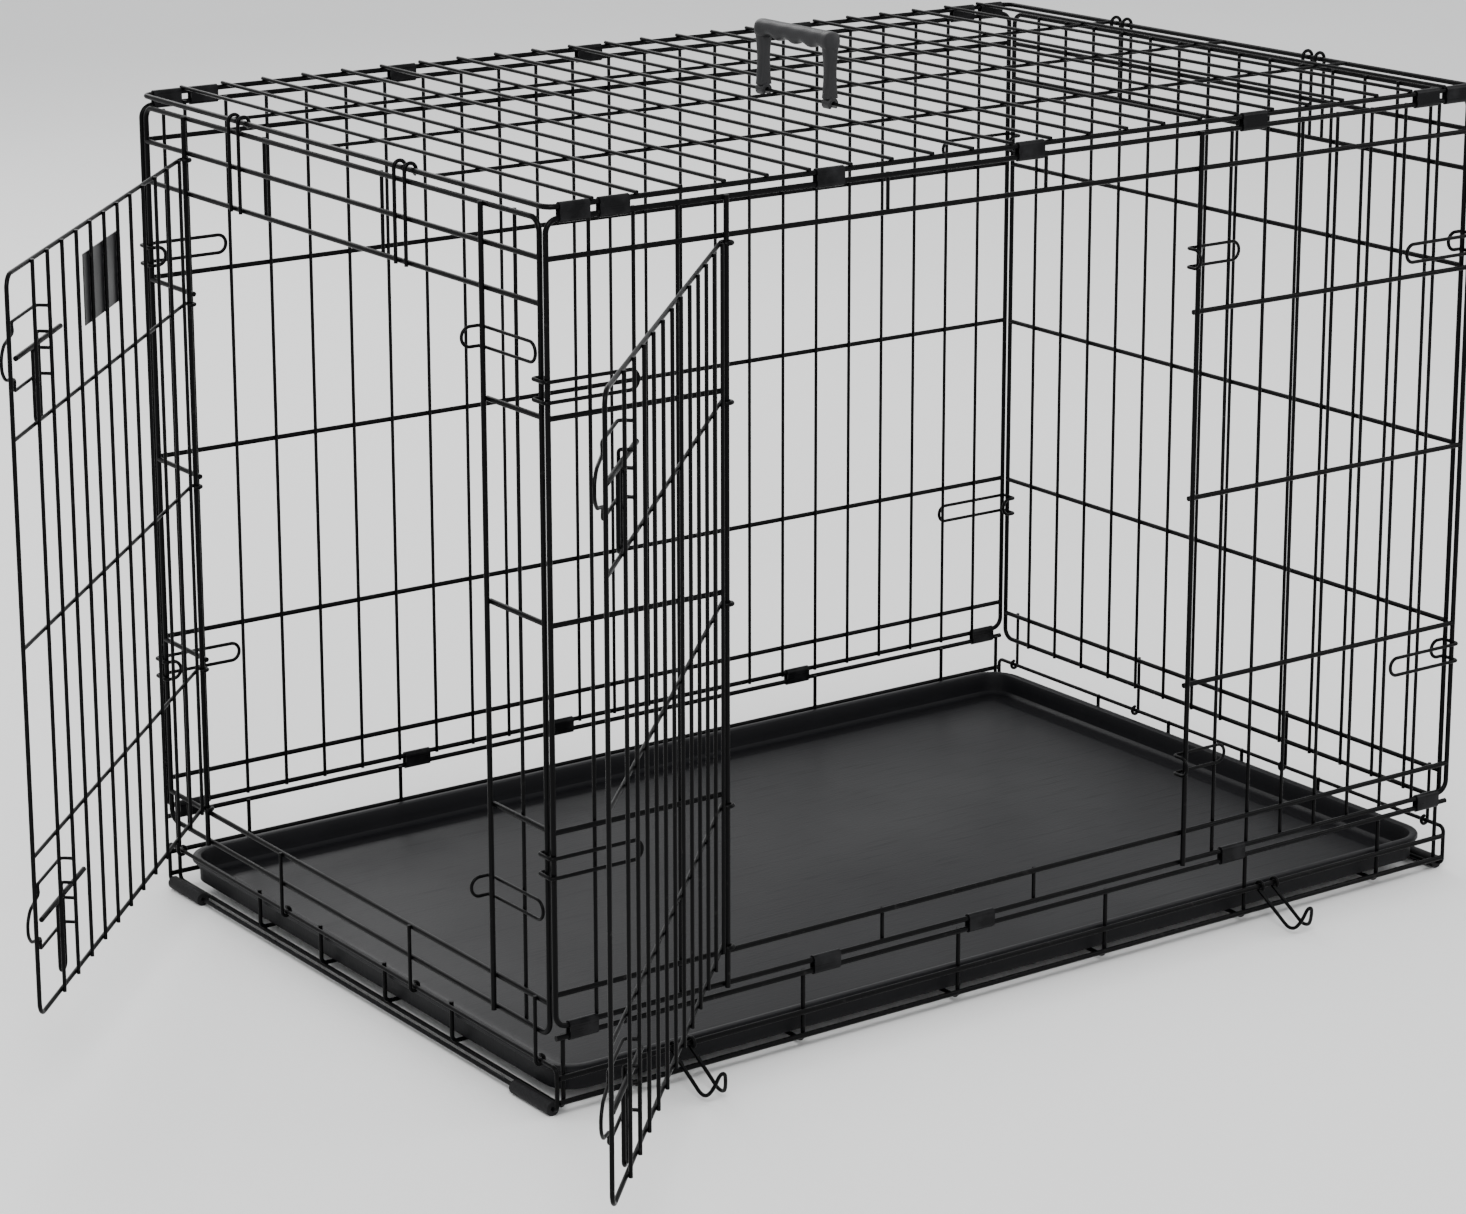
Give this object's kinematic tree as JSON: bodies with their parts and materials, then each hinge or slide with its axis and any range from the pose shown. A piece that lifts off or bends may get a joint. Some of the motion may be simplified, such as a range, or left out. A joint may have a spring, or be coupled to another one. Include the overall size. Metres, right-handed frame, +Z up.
{
  "type": "wire dog crate",
  "caption": "Folding welded-wire dog crate with a side door, an end door, slide latches, a plastic floor pan and a carrying handle.",
  "frame": {"origin": "middle of the cage on the floor", "axes": "+X along the cage to the right seen from the side door, +Y to the rear, +Z up"},
  "size_m": [1.238, 0.9471, 0.742],
  "materials": {
    "black_wire": "glossy black electro-coat on steel wire",
    "clip_sheet": "shiny black coat on bent steel sheet",
    "foot_rubber": "matt dark rubber sleeve",
    "pan_plastic": "satin black plastic with a fine grain",
    "handle_plastic": "dark grey satin plastic",
    "plate_plastic": "blank black plate"
  },
  "bodies": {
    "cage": {"base_floor_grid": "black_wire", "base_front_wall": "black_wire", "base_rear_wall": "black_wire", "base_left_wall": "black_wire", "base_right_wall": "black_wire", "rear_panel": "black_wire", "rear_corner_stops": "black_wire", "top_panel": "black_wire", "front_panel_left": "black_wire", "front_panel_right": "black_wire", "front_panel_header": "black_wire", "front_panel_sill": "black_wire", "front_corner_stops": "black_wire", "front_keepers": "black_wire", "left_end_rear_bars": "black_wire", "left_end_front_bars": "black_wire", "left_end_header": "black_wire", "left_end_sill": "black_wire", "left_end_hooks": "black_wire", "end_keepers": "black_wire", "foot_sleeves": "foot_rubber", "floor_pan": "pan_plastic", "base_front_clips": "clip_sheet", "base_rear_clips": "clip_sheet", "top_front_clips": "clip_sheet", "top_rear_clips": "clip_sheet"},
    "right_end": {"right_end_panel": "black_wire", "right_end_hooks": "black_wire"},
    "front_door_leaf": {"front_door": "black_wire", "front_latch_guides": "black_wire"},
    "front_upper_latch": {"front_upper_bolt": "black_wire"},
    "front_lower_latch": {"front_lower_bolt": "black_wire"},
    "end_door_leaf": {"end_door": "black_wire", "end_latch_guides": "black_wire", "end_door_plate": "plate_plastic"},
    "end_upper_latch": {"end_upper_bolt": "black_wire"},
    "end_lower_latch": {"end_lower_bolt": "black_wire"},
    "left_hook": {"left_carry_hook": "black_wire"},
    "right_hook": {"right_carry_hook": "black_wire"},
    "handle": {"carry_handle": "handle_plastic"}
  },
  "joints": [
    {"name": "front_door_swing", "type": "hinge", "parent": "cage", "child": "front_door_leaf", "pos_m": [-0.30327, -0.30575, 0.37], "axis": [0, 0, 1], "range_deg": [-36, 134]},
    {"name": "end_door_swing", "type": "hinge", "parent": "cage", "child": "end_door_leaf", "pos_m": [-0.45875, 0.22285, 0.37], "axis": [0, 0, 1], "range_deg": [-127, 43]},
    {"name": "front_upper_bolt_slide", "type": "slide", "parent": "front_door_leaf", "child": "front_upper_latch", "axis": [-0.6947, -0.7193, 0], "range_m": [0, 0.038]},
    {"name": "front_lower_bolt_slide", "type": "slide", "parent": "front_door_leaf", "child": "front_lower_latch", "axis": [-0.6947, -0.7193, 0], "range_m": [0, 0.038]},
    {"name": "end_upper_bolt_slide", "type": "slide", "parent": "end_door_leaf", "child": "end_upper_latch", "axis": [-0.682, -0.7314, 0], "range_m": [0, 0.038]},
    {"name": "end_lower_bolt_slide", "type": "slide", "parent": "end_door_leaf", "child": "end_lower_latch", "axis": [-0.682, -0.7314, 0], "range_m": [0, 0.038]},
    {"name": "right_end_fold", "type": "hinge", "parent": "cage", "child": "right_end", "pos_m": [0.45455, 0, 0.039], "axis": [0, -1, 0], "range_deg": [0, 88]},
    {"name": "left_hook_swing", "type": "hinge", "parent": "cage", "child": "left_hook", "pos_m": [-0.342, -0.3019, 0.031], "axis": [-1, 0, 0], "range_deg": [0, 88]},
    {"name": "right_hook_swing", "type": "hinge", "parent": "cage", "child": "right_hook", "pos_m": [0.25, -0.3019, 0.031], "axis": [-1, 0, 0], "range_deg": [0, 88]},
    {"name": "handle_swing", "type": "hinge", "parent": "cage", "child": "handle", "pos_m": [-0.03791, -0.03, 0.6845], "axis": [0, 1, 0], "range_deg": [-75, 75]}
  ]
}
